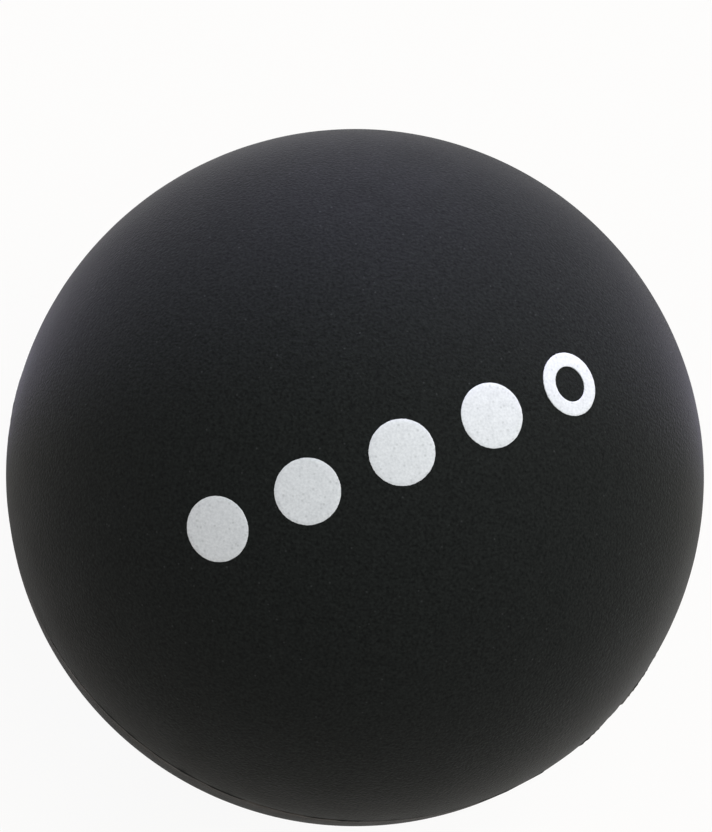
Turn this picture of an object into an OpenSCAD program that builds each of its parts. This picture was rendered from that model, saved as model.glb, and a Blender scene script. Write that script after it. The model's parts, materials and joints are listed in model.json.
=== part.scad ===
// Solid rubber lacrosse ball with its moulding ridge and a printed row of firmness marks.
// Millimetres. The origin is the middle of the ball and +Z is the mould axis,
// so the parting line lies in the XY plane. The print leans from +Z to the front, -Y.

/* [Ball] */
// Diameter of the rubber ball
ball_d = 63; // [60:0.1:66]

/* [Parting ridge] */
// How far the ridge between the two mould halves stands out of the ball
ridge_h = 0.12; // [0.05:0.01:0.3]
// Width of the ridge where it runs into the ball
ridge_w = 0.6; // [0.4:0.05:1.5]

/* [Firmness print] */
// How many of the marks are filled dots, counted from the left; the others are open rings
filled_marks = 4; // [0:1:5]
// Outside diameter of every mark
mark_d = 5.4; // [3:0.1:7]
// Distance between neighbouring marks, measured along the ball
mark_pitch = 8.2; // [7.5:0.1:10]
// Width of the line of an open ring
ring_line = 1.2; // [0.6:0.1:1.4]
// Thickness of the film of ink
ink_t = 0.08; // [0.05:0.01:0.15]
// Angle between the mould axis and the middle of the row
print_lean = 14; // [0:1:30]
// Turn of the row about its own middle, from the direction of +X
print_turn = 32; // [-90:1:90]

/* [Hidden] */
mark_count = 5;
mark_names = [for (i = [1 : mark_count]) str("firmness_mark_", i)];

ball_r = ball_d / 2;
mark_r = mark_d / 2;
// Radius of the ridge's rounded section: an arc as wide as the ridge's foot and as high as the ridge
ridge_r = (ridge_h * ridge_h + ridge_w * ridge_w / 4) / (2 * ridge_h);
degrees_per_mm = 180 / (PI * ball_r);
$fn = 240;

// Half of the ball's section, from the mould axis outwards, with the ridge on its equator
module ball_section() {
    intersection() {
        union() {
            circle(r = ball_r);
            translate([ball_r + ridge_h - ridge_r, 0])
                circle(r = ridge_r);
        }
        translate([0, -ball_d])
            square([2 * ball_d, 2 * ball_d]);
    }
}

// The moulding: one solid of revolution about the mould axis
module ball() {
    color("#1f2021")
        rotate_extrude()
            ball_section();
}

// Film of ink on the top of the ball, between two radii from the mark's own axis
module ink_film(inner_r, outer_r) {
    rotate_extrude()
        intersection() {
            difference() {
                circle(r = ball_r + ink_t);
                circle(r = ball_r);
            }
            translate([inner_r, 0])
                square([outer_r - inner_r, ball_d]);
        }
}

// Carries a mark from the top of the ball to its place in the row
module at_row_place(i) {
    steps_from_middle = i - (mark_count - 1) / 2;
    rotate([print_lean, 0, 0])
        rotate([0, 0, print_turn])
            rotate([0, steps_from_middle * mark_pitch * degrees_per_mm, 0])
                children();
}

// One printed mark: a filled dot up to the ball's grade, an open ring past it
module firmness_mark(i) {
    is_filled = i + 1 <= filled_marks;
    hole_r = is_filled ? 0 : mark_r - ring_line;
    color("#e4e8ea")
        at_row_place(i)
            ink_film(hole_r, mark_r);
}

ball();
for (i = [0 : mark_count - 1])
    firmness_mark(i);
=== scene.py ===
"""Looks of a solid rubber lacrosse ball, with its parting ridge and a printed row of firmness marks."""

import json
from math import atan, atan2, cos, degrees, pi, radians, sin, sqrt

import bmesh
import bpy
from mathutils import Matrix, Vector

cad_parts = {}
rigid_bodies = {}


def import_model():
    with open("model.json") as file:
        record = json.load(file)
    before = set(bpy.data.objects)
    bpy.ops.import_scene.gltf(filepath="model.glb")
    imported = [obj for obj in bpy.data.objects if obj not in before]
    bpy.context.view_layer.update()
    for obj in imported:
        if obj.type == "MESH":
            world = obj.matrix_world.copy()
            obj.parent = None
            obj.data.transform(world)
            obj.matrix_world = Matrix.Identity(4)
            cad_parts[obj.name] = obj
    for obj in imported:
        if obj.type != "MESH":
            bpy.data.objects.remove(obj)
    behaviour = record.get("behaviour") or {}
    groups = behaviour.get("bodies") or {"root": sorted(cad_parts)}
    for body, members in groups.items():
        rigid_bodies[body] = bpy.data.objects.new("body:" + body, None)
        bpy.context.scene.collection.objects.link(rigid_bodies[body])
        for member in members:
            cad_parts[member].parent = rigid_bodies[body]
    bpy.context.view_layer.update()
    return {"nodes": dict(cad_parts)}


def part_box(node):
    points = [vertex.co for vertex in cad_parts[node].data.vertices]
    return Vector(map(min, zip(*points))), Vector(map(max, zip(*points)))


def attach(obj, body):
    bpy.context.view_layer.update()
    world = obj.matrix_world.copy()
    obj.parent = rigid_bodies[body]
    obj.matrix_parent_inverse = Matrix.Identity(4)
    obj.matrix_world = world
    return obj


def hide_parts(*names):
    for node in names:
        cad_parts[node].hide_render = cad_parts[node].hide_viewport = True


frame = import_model()

MM = 0.001
TINY = 0.001 * MM

# Ball: its radius and the height of its ridge from the frame, its facets round the mould axis
# and its rings from pole to pole. The half below the ridge is a hair smaller.
BALL_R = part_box("ball")[1].z
RIDGE_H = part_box("ball")[1].x - BALL_R
BALL_SEGMENTS = 960
BALL_RINGS = 80
FAR_HALF_STEP = 0.07 * MM
FAR_HALF_SCALE = 1 - FAR_HALF_STEP / BALL_R

# Parting ridge: its section from the upper foot to the lower one, as shares of the ridge's height
# in the frame. It is trimmed to about half of that height, below a faint groove, and its lower
# flank runs out gently.
RIDGE_HALF_W = 0.3 * MM
CREST_REACH = 0.03 * MM
RIDGE_SECTION = (0.0, -0.04, 0.08, 0.38, 0.48, 0.48, 0.38, 0.2, 0.0)

# Uneven trim: the share of it that the ridge takes within each distance of the parting plane,
# how far it wanders in height and along the mould axis, and the length of its waves
TRIM_SHARES = ((1.05 * RIDGE_HALF_W, 0.33), (0.8 * RIDGE_HALF_W, 0.66), (0.55 * RIDGE_HALF_W, 1.0))
TRIM_UNEVEN = 0.18 * MM
TRIM_WANDER = 0.5 * MM
TRIM_LENGTH = 2.2 * MM

# Stretches trimmed nearly flush: from and to in degrees round the mould axis, and the share
# by which what lies within reach of the parting plane is drawn to one even radius
FLUSH_REACH = 0.4 * MM
FLUSH_STRETCHES = (
    (-176, -147, 0.92),
    (-147, -141, 0.85),
    (-141, -132, 0.5),
    (-132, -122, 0.3),
    (-122, -112, 0.15),
    (-82, -62, 0.6),
    (-50, -42.5, 0.7),
)

# Torn flash on the crest: from and to in degrees round the mould axis, how high it stands,
# and the share of the crest that keeps it
FLASH_STRETCHES = (
    (-32.3, -19, 0.08 * MM, 1.0),
    (-32.3, -28.5, 0.04 * MM, 1.0),
    (-32.3, -19, 0.04 * MM, 0.4),
    (-42, -37.5, 0.04 * MM, 0.4),
    (-144, -132, 0.04 * MM, 0.5),
    (60, 84, 0.08 * MM, 0.4),
    (128, 141, 0.06 * MM, 0.4),
)

# Printed marks: a mark whose inner radius is over this share of its outer one is a ring. The film
# of ink reaches a little into the rubber, and its rim is soft and slightly ragged.
OPEN_SHARE = 0.25
MARK_SIDES = 128
MARK_RINGS = 6
INK_T = 0.08 * MM
INK_SINK = 0.02 * MM
INK_RIM = 0.03 * MM
INK_RAGGED = 0.012 * MM
RIM_ANGLE = radians(50)
SMOOTH_ANGLE = radians(35)

# Grain of both skins: the range that holds nearly all of a noise, and a wider one for the pits
NOISE_MIDDLE = (0.3, 0.7)
PIT_RANGE = (0.25, 0.75)
GRAIN_DETAIL = 2.0
MOTTLE_DETAIL = 4.0

# Rubber: sizes of its grain, mottling and dust, and its colours in the pits and on the skin
# between them, each as a pair that the mottling mixes
RUBBER_GRAIN = {
    "Grain Size": 0.24 * MM,
    "Mottle Size": 5 * MM,
    "Speck Spacing": 1.2 * MM,
    "Speck Radius": 0.13 * MM,
}
PIT_COLOURS = ((0.0039, 0.0044, 0.0042, 1), (0.0045, 0.0051, 0.0048, 1))
SKIN_COLOURS = ((0.0143, 0.0163, 0.0153, 1), (0.0152, 0.0173, 0.0163, 1))
DUST_COLOUR = (0.034, 0.036, 0.036, 1)
RUBBER_ROUGHNESS = (0.66, 0.76)
RUBBER_GRAIN_DEPTH = 0.055 * MM
RUBBER_SPECULAR = 0.04
RUBBER_SHEEN = 0.106
RUBBER_SHEEN_ROUGHNESS = 0.4

# Trimmed rubber: heights between which the buffed band under the ridge fades in and out, its streaks,
# and the paler line along the crest with its fade to both sides. The band's colour is buffed wear with
# painted sheen: it is lighter and warmer than the wear alone, as grazing light at the rim would make
# it.
BAND_TOP = (0.0, 0.08 * MM)
BAND_FOOT = (-2.8 * MM, -0.3 * MM)
STREAKS_PER_METRE = 330.0
STREAK_STRETCH = 16
STREAK_DETAIL = 2.0
STREAK_ROUGHNESS = 0.6
SCUFF_RANGE = (0.36, 0.64)
SCUFF_DEPTH = 0.05 * MM
# Buffed wear with painted sheen: lighter and warmer than the wear alone.
BUFFED_SHEEN_COLOUR = (0.066, 0.060, 0.055, 1)
CREST_LINE_Z = -0.05 * MM
CREST_LINE_FADE = (0.05 * MM, 0.12 * MM)
# Paler cut rubber with a painted highlight along the crest.
CREST_HIGHLIGHT_COLOUR = (0.060, 0.054, 0.049, 1)

# Ink: sizes of its grain, mottling and pinholes, and its colours where it covers thinly and fully,
# each as a pair that the mottling mixes
INK_GRAIN = {
    "Grain Size": 0.2 * MM,
    "Mottle Size": 0.8 * MM,
    "Speck Spacing": 0.55 * MM,
    "Speck Radius": 0.17 * MM,
}
THIN_INK_COLOURS = ((0.58, 0.60, 0.615, 1), (0.62, 0.64, 0.655, 1))
FULL_INK_COLOURS = ((0.685, 0.705, 0.72, 1), (0.725, 0.745, 0.76, 1))
PINHOLE_COLOUR = (0.50, 0.52, 0.53, 1)
INK_ROUGHNESS = (0.5, 0.65)
INK_GRAIN_DEPTH = 0.02 * MM
INK_GRAIN_STRENGTH = 0.3
INK_SPECULAR = 0.2

# View of the photograph: the ball's circle in its pixels, and the camera round the ball
PHOTO_W, PHOTO_H = 712, 832
BALL_X_PX, BALL_Y_PX, BALL_R_PX = 354.98, 477.04, 348.92
CAMERA_AZIMUTH = radians(-18.6)
CAMERA_ELEVATION = radians(70.33)
CAMERA_ROLL = radians(-27.4)
CAMERA_RADII = 8.0
CAMERA_CLIP = 10 * MM
SENSOR_MM = 36

# Studio: soft boxes by their direction from the ball (right, up and towards the camera),
# with their size, distance, power and tint, and the room's even light
SOFT_BOXES = {
    "key_box": ((0.48, 0.40, 0.78), 1.2, 1.2, 11.8, (0.965, 0.985, 0.985)),
    "back_right_box": ((0.80, 0.60, 0.05), 1.0, 1.4, 5.5, (0.98, 0.94, 1.0)),
    "back_left_box": ((-0.60, 0.80, 0.20), 1.0, 1.4, 1.8, (0.68, 0.70, 1.0)),
    "rim_box": ((0.05, 0.97, -0.15), 0.4, 1.4, 26.3, (0.71, 0.67, 1.0)),
}
ROOM_LIGHT = 0.43

# Floor: the share of white in it as it is seen, under the ball, beside it and far off, and the
# distances over which the first of these fades to the second and the second to the third. The lower
# share under the ball is a painted contact shadow, over the real shadow that it lets show.
FLOOR_SIZE = 4.0
FLOOR_COLOUR = (0.60, 0.53, 0.42, 1)
CONTACT_PAINTED_SHADE_WHITE, BESIDE_WHITE, FAR_WHITE = 0.70, 0.93, 1.0
CONTACT_FADE = (6 * MM, 22 * MM)
FLOOR_FADE = (80 * MM, 400 * MM)

# Sockets of a Mix node that mixes colours, whose names are shared with its other kinds
MIX_FACTOR, MIX_FIRST, MIX_SECOND = 0, 6, 7
MIX_RESULT = 2


def add_primitive(operator, name, **settings):
    """Adds a primitive with nothing else selected, and names it."""
    bpy.ops.object.select_all(action="DESELECT")
    operator(**settings)
    piece = bpy.context.object
    piece.name = name
    piece.data.name = name
    return piece


def pick(piece):
    """Makes the piece the only selected and active object."""
    bpy.ops.object.select_all(action="DESELECT")
    piece.select_set(True)
    bpy.context.view_layer.objects.active = piece


def select_verts(piece, wanted):
    """In edit mode, selects the vertices whose place passes the test, and nothing else."""
    bpy.ops.mesh.select_mode(type="VERT")
    bpy.ops.mesh.select_all(action="DESELECT")
    shape = bmesh.from_edit_mesh(piece.data)
    for vert in shape.verts:
        vert.select_set(wanted(vert.co))
    shape.select_flush(True)
    bmesh.update_edit_mesh(piece.data)


def select_stretch(ball, reach, start, end):
    """Selects what lies within reach of the parting plane, between two angles round the mould axis."""
    select_verts(
        ball,
        lambda place: abs(place.z) < reach and start < degrees(atan2(place.y, place.x)) < end,
    )


def widen(scale_xy, scale_z=1.0):
    """Scales what is selected about the middle of the ball."""
    bpy.ops.transform.resize(value=(scale_xy, scale_xy, scale_z), center_override=(0, 0, 0))


def add_modifier(kind, **settings):
    """Adds a modifier to the active piece and applies it."""
    bpy.ops.object.modifier_add(type=kind)
    modifier = bpy.context.object.modifiers[-1]
    for name, value in settings.items():
        setattr(modifier, name, value)
    bpy.ops.object.modifier_apply(modifier=modifier.name)


def draw_half_section():
    """Half of the ball's section: an arc from pole to pole with the ridge on its middle."""
    section = add_primitive(
        bpy.ops.mesh.primitive_circle_add,
        "rubber_ball",
        vertices=2 * BALL_RINGS,
        radius=BALL_R,
        rotation=(pi / 2, 0, 0),
    )
    bpy.ops.object.transform_apply(rotation=True)
    bpy.ops.object.mode_set(mode="EDIT")
    select_verts(section, lambda place: place.x < -TINY)
    bpy.ops.mesh.delete(type="VERT")
    select_verts(section, lambda place: abs(place.z) < TINY)
    bpy.ops.mesh.bevel(offset=RIDGE_HALF_W, segments=len(RIDGE_SECTION) - 1, affect="VERTICES")
    heights = [point.co.z for point in bmesh.from_edit_mesh(section.data).verts]
    levels = sorted((z for z in heights if abs(z) < RIDGE_HALF_W + TINY), reverse=True)
    for level, share in zip(levels, RIDGE_SECTION):
        select_verts(section, lambda place: abs(place.z - level) < TINY)
        bpy.ops.transform.translate(value=(share * RIDGE_H, 0, 0))
    select_verts(section, lambda place: place.z < levels[-1] + TINY)
    widen(FAR_HALF_SCALE, FAR_HALF_SCALE)
    bpy.ops.object.mode_set(mode="OBJECT")
    return section


def tear_flash(ball):
    """Leaves torn teeth of flash on stretches of the crest."""
    bpy.ops.object.mode_set(mode="EDIT")
    for seed, (start, end, height, share) in enumerate(FLASH_STRETCHES):
        select_stretch(ball, CREST_REACH, start, end)
        bpy.ops.mesh.select_random(ratio=1 - share, seed=seed, action="DESELECT")
        widen(1 + height / BALL_R)
    bpy.ops.object.mode_set(mode="OBJECT")


def trim_ridge_unevenly(ball):
    """Lets the trimmed ridge wander in height and sideways, and trims stretches of it flush."""
    bpy.ops.object.mode_set(mode="EDIT")
    bpy.ops.object.vertex_group_add()
    for reach, share in TRIM_SHARES:
        select_verts(ball, lambda place: abs(place.z) < reach)
        bpy.context.scene.tool_settings.vertex_group_weight = share
        bpy.ops.object.vertex_group_assign()
    bpy.ops.object.mode_set(mode="OBJECT")
    wander = bpy.data.textures.new("uneven_trim", type="CLOUDS")
    wander.noise_scale = TRIM_LENGTH
    for direction, strength in (("NORMAL", TRIM_UNEVEN), ("Z", TRIM_WANDER)):
        add_modifier(
            "DISPLACE",
            texture=wander,
            vertex_group=ball.vertex_groups.active.name,
            direction=direction,
            strength=strength,
        )
    bpy.ops.object.vertex_group_remove(all=True)
    bpy.ops.object.mode_set(mode="EDIT")
    for start, end, share in FLUSH_STRETCHES:
        select_stretch(ball, FLUSH_REACH, start, end)
        bpy.ops.transform.tosphere(value=share, center_override=(0, 0, 0))
    bpy.ops.object.mode_set(mode="OBJECT")


def make_ball():
    """The moulding: its section turned about the mould axis, with the ridge where the halves met."""
    ball = draw_half_section()
    add_modifier(
        "SCREW",
        axis="Z",
        angle=2 * pi,
        steps=BALL_SEGMENTS,
        render_steps=BALL_SEGMENTS,
        use_merge_vertices=True,
        merge_threshold=TINY,
    )
    bpy.ops.object.mode_set(mode="EDIT")
    bpy.ops.mesh.select_all(action="SELECT")
    bpy.ops.mesh.remove_doubles(threshold=TINY)
    bpy.ops.mesh.normals_make_consistent(inside=False)
    bpy.ops.object.mode_set(mode="OBJECT")
    tear_flash(ball)
    trim_ridge_unevenly(ball)
    bpy.ops.object.shade_smooth()
    return ball


def mark_measures(node):
    """A printed mark's axis from the middle of the ball, its radius, and its hole's radius or 0."""
    low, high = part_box(node)
    axis = ((low + high) / 2).normalized()
    places = [vert.co for vert in frame["nodes"][node].data.vertices]
    reach = [(place - axis * place.dot(axis)).length for place in places]
    outer_r = max(reach)
    hole_r = min(reach)
    if hole_r < OPEN_SHARE * outer_r:
        hole_r = 0
    return axis, outer_r, hole_r


def flat_mark(name, outer_r, hole_r):
    """A mark that lies flat on top of the ball, as loops from its rim to its open or closed middle."""
    mark = add_primitive(
        bpy.ops.mesh.primitive_circle_add,
        name,
        vertices=MARK_SIDES,
        radius=outer_r,
        fill_type="NGON",
        location=(0, 0, BALL_R),
    )
    bpy.ops.object.transform_apply(location=True)
    bpy.ops.object.mode_set(mode="EDIT")
    bpy.ops.mesh.select_all(action="SELECT")
    width = outer_r - hole_r if hole_r else outer_r * MARK_RINGS / (MARK_RINGS + 1)
    for _ in range(MARK_RINGS):
        bpy.ops.mesh.inset(thickness=width / MARK_RINGS, depth=0)
    if hole_r:
        bpy.ops.mesh.delete(type="FACE")
    else:
        bpy.ops.mesh.poke()
    bpy.ops.object.mode_set(mode="OBJECT")
    return mark


def print_mark(mark, axis, outer_r, seed):
    """Lays a flat mark on the ball as a film of ink with a soft rim, and turns it to its place."""
    pick(mark)
    bpy.ops.object.mode_set(mode="EDIT")
    select_verts(mark, lambda place: place.xy.length > outer_r - TINY)
    bpy.ops.transform.vertex_random(offset=INK_RAGGED, uniform=1, normal=0, seed=seed)
    bpy.ops.object.mode_set(mode="OBJECT")
    add_modifier("CAST", cast_type="SPHERE", factor=1, radius=0, size=BALL_R + INK_T)
    add_modifier("SOLIDIFY", thickness=INK_T + INK_SINK, offset=-1)
    add_modifier("BEVEL", width=INK_RIM, segments=2, limit_method="ANGLE", angle_limit=RIM_ANGLE)
    mark.rotation_mode = "QUATERNION"
    mark.rotation_quaternion = Vector((0, 0, 1)).rotation_difference(axis)
    bpy.ops.object.transform_apply(location=False, rotation=True, scale=False)
    bpy.ops.object.shade_smooth_by_angle(angle=SMOOTH_ANGLE)


def make_marks():
    """The printed row: one dot modelled and copied, and a ring for each open mark."""
    marks = {}
    first_dot = None
    for node in sorted(name for name in frame["nodes"] if name.startswith("firmness_mark")):
        axis, outer_r, hole_r = mark_measures(node)
        name = "ink_" + node
        if hole_r:
            mark = flat_mark(name, outer_r, hole_r)
        elif first_dot is None:
            mark = flat_mark(name, outer_r, hole_r)
            first_dot = mark.copy()
            first_dot.data = mark.data.copy()
        else:
            mark = first_dot.copy()
            mark.data = first_dot.data.copy()
            mark.name = name
            mark.data.name = name
            bpy.context.collection.objects.link(mark)
        print_mark(mark, axis, outer_r, seed=len(marks))
        marks[node] = mark
    bpy.data.objects.remove(first_dot)
    return marks


def add_node(tree, kind, inputs=None, **settings):
    """Adds a shader node with its settings, and puts values or links on its inputs."""
    made = tree.nodes.new(kind)
    for name, value in settings.items():
        setattr(made, name, value)
    for name, value in (inputs or {}).items():
        if isinstance(value, bpy.types.NodeSocket):
            tree.links.new(value, made.inputs[name])
        else:
            made.inputs[name].default_value = value
    return made


def add_math(tree, operation, first, second=0.0):
    """The result of a Math node on one or two values or sockets."""
    made = add_node(tree, "ShaderNodeMath", {0: first, 1: second}, operation=operation)
    return made.outputs["Value"]


def map_range(tree, value, from_range, to_range):
    """Rescales a value from one range to another, held within it."""
    mapped = add_node(
        tree,
        "ShaderNodeMapRange",
        {
            "Value": value,
            "From Min": from_range[0],
            "From Max": from_range[1],
            "To Min": to_range[0],
            "To Max": to_range[1],
        },
    )
    return mapped.outputs["Result"]


def mix_colour(tree, mask, first, second):
    """Mixes two colours, or sockets, by a mask."""
    mixed = add_node(
        tree,
        "ShaderNodeMix",
        {MIX_FACTOR: mask, MIX_FIRST: first, MIX_SECOND: second},
        data_type="RGBA",
    )
    return mixed.outputs[MIX_RESULT]


def make_grain_group():
    """Fine grain, broad mottling and sparse specks of a moulded or printed skin, at sizes in metres."""
    group = bpy.data.node_groups.new("skin_grain", "ShaderNodeTree")
    group.interface.new_socket(name="Position", in_out="INPUT", socket_type="NodeSocketVector")
    for name in ("Grain Size", "Mottle Size", "Speck Spacing", "Speck Radius"):
        group.interface.new_socket(name=name, in_out="INPUT", socket_type="NodeSocketFloat")
    for name in ("Grain", "Mottle", "Specks"):
        group.interface.new_socket(name=name, in_out="OUTPUT", socket_type="NodeSocketFloat")
    given = add_node(group, "NodeGroupInput").outputs
    result = add_node(group, "NodeGroupOutput").inputs

    noises = (
        ("Grain", "Grain Size", GRAIN_DETAIL),
        ("Mottle", "Mottle Size", MOTTLE_DETAIL),
    )
    for name, size, detail in noises:
        per_metre = add_math(group, "DIVIDE", 1.0, given[size])
        noise = add_node(
            group,
            "ShaderNodeTexNoise",
            {"Vector": given["Position"], "Scale": per_metre, "Detail": detail},
        )
        group.links.new(noise.outputs["Fac"], result[name])

    per_metre = add_math(group, "DIVIDE", 1.0, given["Speck Spacing"])
    cells = add_node(group, "ShaderNodeTexVoronoi", {"Vector": given["Position"], "Scale": per_metre})
    speck_edge = add_math(group, "DIVIDE", given["Speck Radius"], given["Speck Spacing"])
    specks = add_node(
        group,
        "ShaderNodeMapRange",
        {"Value": cells.outputs["Distance"], "From Max": speck_edge, "To Min": 1.0, "To Max": 0.0},
        interpolation_type="SMOOTHSTEP",
    )
    group.links.new(specks.outputs["Result"], result["Specks"])
    return group


def new_material(name):
    """A material with its Principled shader and the piece's own coordinates."""
    material = bpy.data.materials.new(name)
    material.use_nodes = True
    tree = material.node_tree
    skin = tree.nodes["Principled BSDF"]
    place = add_node(tree, "ShaderNodeTexCoord").outputs["Object"]
    return material, tree, skin, place


def scuffed_sheen_band(tree, place, height):
    """Mask of the streaky, scuffed band under the ridge, which also carries the band's painted sheen.
    """
    under_crest = map_range(tree, height, BAND_TOP, (1, 0))
    above_plain = map_range(tree, height, BAND_FOOT, (0, 1))
    band = add_math(tree, "MULTIPLY", under_crest, above_plain)
    drawn_out = add_node(tree, "ShaderNodeMapping", {"Vector": place, "Scale": (1, 1, STREAK_STRETCH)})
    streaks = add_node(
        tree,
        "ShaderNodeTexNoise",
        {
            "Vector": drawn_out.outputs["Vector"],
            "Scale": STREAKS_PER_METRE,
            "Detail": STREAK_DETAIL,
            "Roughness": STREAK_ROUGHNESS,
        },
    )
    scuffs_and_sheen = map_range(tree, streaks.outputs["Fac"], SCUFF_RANGE, (0, 1))
    return add_math(tree, "MULTIPLY", band, scuffs_and_sheen)


def crest_highlight_line(tree, height):
    """Mask of the paler line along the trimmed crest: paler cut rubber with a painted highlight on it.
    """
    above_line = add_math(tree, "SUBTRACT", height, CREST_LINE_Z)
    off_line = add_math(tree, "ABSOLUTE", above_line)
    return map_range(tree, off_line, CREST_LINE_FADE, (1, 0))


def make_rubber(grain_group):
    """Matt black moulded rubber: fine grain, faint mottling, a scuffed ridge band with painted sheen, a
    painted highlight on the crest, and specks of dust.
    """
    material, tree, skin, place = new_material("moulded_rubber")
    grain = add_node(
        tree,
        "ShaderNodeGroup",
        {"Position": place, **RUBBER_GRAIN},
        node_tree=grain_group,
    ).outputs
    mottle = map_range(tree, grain["Mottle"], NOISE_MIDDLE, (0, 1))
    raised = map_range(tree, grain["Grain"], PIT_RANGE, (0, 1))
    deep = mix_colour(tree, mottle, *PIT_COLOURS)
    high = mix_colour(tree, mottle, *SKIN_COLOURS)
    plain = mix_colour(tree, raised, deep, high)

    height = add_node(tree, "ShaderNodeSeparateXYZ", {"Vector": place}).outputs["Z"]
    scuffs_and_sheen = scuffed_sheen_band(tree, place, height)
    # Buffed wear with painted sheen: the band is lighter and warmer where grazing light would lighten
    # it.
    buffed_sheen = mix_colour(tree, scuffs_and_sheen, plain, BUFFED_SHEEN_COLOUR)
    # Painted highlight, with paler cut rubber, along the crest.
    trimmed = mix_colour(tree, crest_highlight_line(tree, height), buffed_sheen, CREST_HIGHLIGHT_COLOUR)
    dusty = mix_colour(tree, grain["Specks"], trimmed, DUST_COLOUR)
    tree.links.new(dusty, skin.inputs["Base Color"])

    roughness = map_range(tree, grain["Mottle"], NOISE_MIDDLE, RUBBER_ROUGHNESS)
    tree.links.new(roughness, skin.inputs["Roughness"])
    grained = add_node(
        tree,
        "ShaderNodeBump",
        {"Height": grain["Grain"], "Strength": 1.0, "Distance": RUBBER_GRAIN_DEPTH},
    )
    grooved = add_node(
        tree,
        "ShaderNodeBump",
        {
            "Height": scuffs_and_sheen,
            "Strength": 1.0,
            "Distance": SCUFF_DEPTH,
            "Normal": grained.outputs["Normal"],
        },
    )
    tree.links.new(grooved.outputs["Normal"], skin.inputs["Normal"])
    skin.inputs["Specular IOR Level"].default_value = RUBBER_SPECULAR
    skin.inputs["Sheen Weight"].default_value = RUBBER_SHEEN
    skin.inputs["Sheen Roughness"].default_value = RUBBER_SHEEN_ROUGHNESS
    return material


def make_ink(grain_group):
    """Matt white printing ink: a faint grain, with pinholes where the black rubber dulls it."""
    material, tree, skin, place = new_material("printed_ink")
    grain = add_node(
        tree,
        "ShaderNodeGroup",
        {"Position": place, **INK_GRAIN},
        node_tree=grain_group,
    ).outputs
    mottle = map_range(tree, grain["Mottle"], NOISE_MIDDLE, (0, 1))
    cover = map_range(tree, grain["Grain"], NOISE_MIDDLE, (0, 1))
    thin = mix_colour(tree, mottle, *THIN_INK_COLOURS)
    full = mix_colour(tree, mottle, *FULL_INK_COLOURS)
    plain = mix_colour(tree, cover, thin, full)
    pinholed = mix_colour(tree, grain["Specks"], plain, PINHOLE_COLOUR)
    tree.links.new(pinholed, skin.inputs["Base Color"])

    roughness = map_range(tree, grain["Grain"], NOISE_MIDDLE, INK_ROUGHNESS)
    tree.links.new(roughness, skin.inputs["Roughness"])
    grained = add_node(
        tree,
        "ShaderNodeBump",
        {"Height": grain["Grain"], "Strength": INK_GRAIN_STRENGTH, "Distance": INK_GRAIN_DEPTH},
    )
    tree.links.new(grained.outputs["Normal"], skin.inputs["Normal"])
    skin.inputs["Specular IOR Level"].default_value = INK_SPECULAR
    return material


def seen_directly(tree):
    """1 for what the camera, a reflection or clear material looks at, and 0 for light on its way."""
    path = add_node(tree, "ShaderNodeLightPath").outputs
    seen = add_math(tree, "MAXIMUM", path["Is Camera Ray"], path["Is Glossy Ray"])
    return add_math(tree, "MAXIMUM", seen, path["Is Transmission Ray"])


def make_floor(lowest):
    """A floor under the ball: it keeps a faint part of the shadow, is darkened under the ball by a
    painted contact shadow, and fades to white further off.
    """
    floor = add_primitive(
        bpy.ops.mesh.primitive_plane_add,
        "floor",
        size=FLOOR_SIZE,
        location=(0, 0, lowest),
    )
    bpy.ops.object.transform_apply(location=True)
    material, tree, paper, place = new_material("floor_paper")
    paper.inputs["Base Color"].default_value = FLOOR_COLOUR
    paper.inputs["Roughness"].default_value = 1.0
    paper.inputs["Specular IOR Level"].default_value = 0.0
    white = add_node(tree, "ShaderNodeEmission", {"Color": (1, 1, 1, 1), "Strength": 1.0})
    on_floor = add_node(tree, "ShaderNodeMapping", {"Vector": place, "Scale": (1, 1, 0)})
    from_ball = add_node(
        tree,
        "ShaderNodeVectorMath",
        {0: on_floor.outputs["Vector"]},
        operation="LENGTH",
    ).outputs["Value"]
    # Painted contact shadow: less white under the ball darkens the floor there and lets more of the
    # real shadow show.
    near = map_range(tree, from_ball, CONTACT_FADE, (CONTACT_PAINTED_SHADE_WHITE, BESIDE_WHITE))
    far = map_range(tree, from_ball, FLOOR_FADE, (0, FAR_WHITE - BESIDE_WHITE))
    share = add_math(tree, "MULTIPLY", seen_directly(tree), add_math(tree, "ADD", near, far))
    mixed = add_node(
        tree,
        "ShaderNodeMixShader",
        {0: share, 1: paper.outputs["BSDF"], 2: white.outputs["Emission"]},
    )
    tree.links.new(mixed.outputs["Shader"], tree.nodes["Material Output"].inputs["Surface"])
    floor.data.materials.append(material)


def make_room():
    """The pale room: white where it is seen, and a low even light where it lights the ball."""
    world = bpy.data.worlds.new("studio_room")
    world.use_nodes = True
    tree = world.node_tree
    background = tree.nodes["Background"]
    strength = map_range(tree, seen_directly(tree), (0, 1), (ROOM_LIGHT, 1.0))
    tree.links.new(strength, background.inputs["Strength"])
    background.inputs["Color"].default_value = (1, 1, 1, 1)
    bpy.context.scene.world = world


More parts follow.
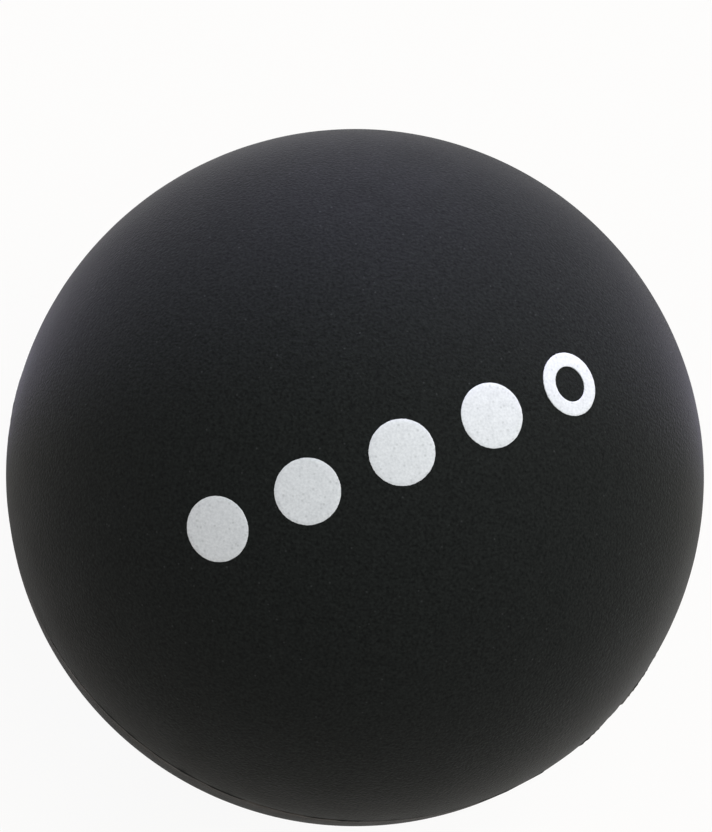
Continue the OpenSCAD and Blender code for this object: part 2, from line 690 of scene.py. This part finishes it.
def camera_axes():
    """The photograph's right, up and towards-the-camera directions, as the columns of a matrix."""
    flat = cos(CAMERA_ELEVATION)
    towards = Vector((sin(CAMERA_AZIMUTH) * flat, -cos(CAMERA_AZIMUTH) * flat, sin(CAMERA_ELEVATION)))
    level = (-towards).cross(Vector((0, 0, 1))).normalized()
    upright = level.cross(-towards)
    up = upright * cos(CAMERA_ROLL) + level * sin(CAMERA_ROLL)
    right = (-towards).cross(up)
    return Matrix((right, up, towards)).transposed()


def make_soft_boxes(axes):
    """Round soft boxes that look at the ball, hidden from the camera."""
    for name, (direction, size, distance, power, tint) in SOFT_BOXES.items():
        towards_box = (axes @ Vector(direction)).normalized()
        bpy.ops.object.light_add(
            type="AREA",
            location=towards_box * distance,
            rotation=(-towards_box).to_track_quat("-Z", "Y").to_euler(),
        )
        box = bpy.context.object
        box.name = name
        box.data.shape = "DISK"
        box.data.size = size
        box.data.energy = power
        box.data.color = tint
        box.visible_camera = False


def make_camera(axes):
    """A camera at the photograph's angle, aimed so that the ball falls where the photograph has it."""
    focal_px = BALL_R_PX * sqrt(CAMERA_RADII ** 2 - 1)
    look_up = atan((BALL_Y_PX - PHOTO_H / 2) / focal_px)
    look_right = atan((PHOTO_W / 2 - BALL_X_PX) / focal_px)
    aim = Matrix.Rotation(look_up, 3, "X") @ Matrix.Rotation(-look_right, 3, "Y")
    bpy.ops.object.camera_add()
    camera = bpy.context.object
    camera.name = "photo_camera"
    stand = Matrix.Translation(axes.col[2] * CAMERA_RADII * BALL_R)
    camera.matrix_world = stand @ (axes @ aim).to_4x4()
    camera.data.sensor_width = SENSOR_MM
    camera.data.lens = focal_px * SENSOR_MM / PHOTO_H
    camera.data.clip_start = CAMERA_CLIP
    bpy.context.scene.camera = camera


bpy.context.scene.view_settings.view_transform = "Standard"
view_axes = camera_axes()
make_camera(view_axes)
make_soft_boxes(view_axes)
make_room()

grain_group = make_grain_group()
rubber = make_rubber(grain_group)
ink = make_ink(grain_group)

ball = make_ball()
ball.data.materials.append(rubber)
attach(ball, "root")
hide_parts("ball")

for node, mark in make_marks().items():
    mark.data.materials.append(ink)
    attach(mark, "root")
    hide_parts(node)

make_floor(min(vert.co.z for vert in ball.data.vertices))
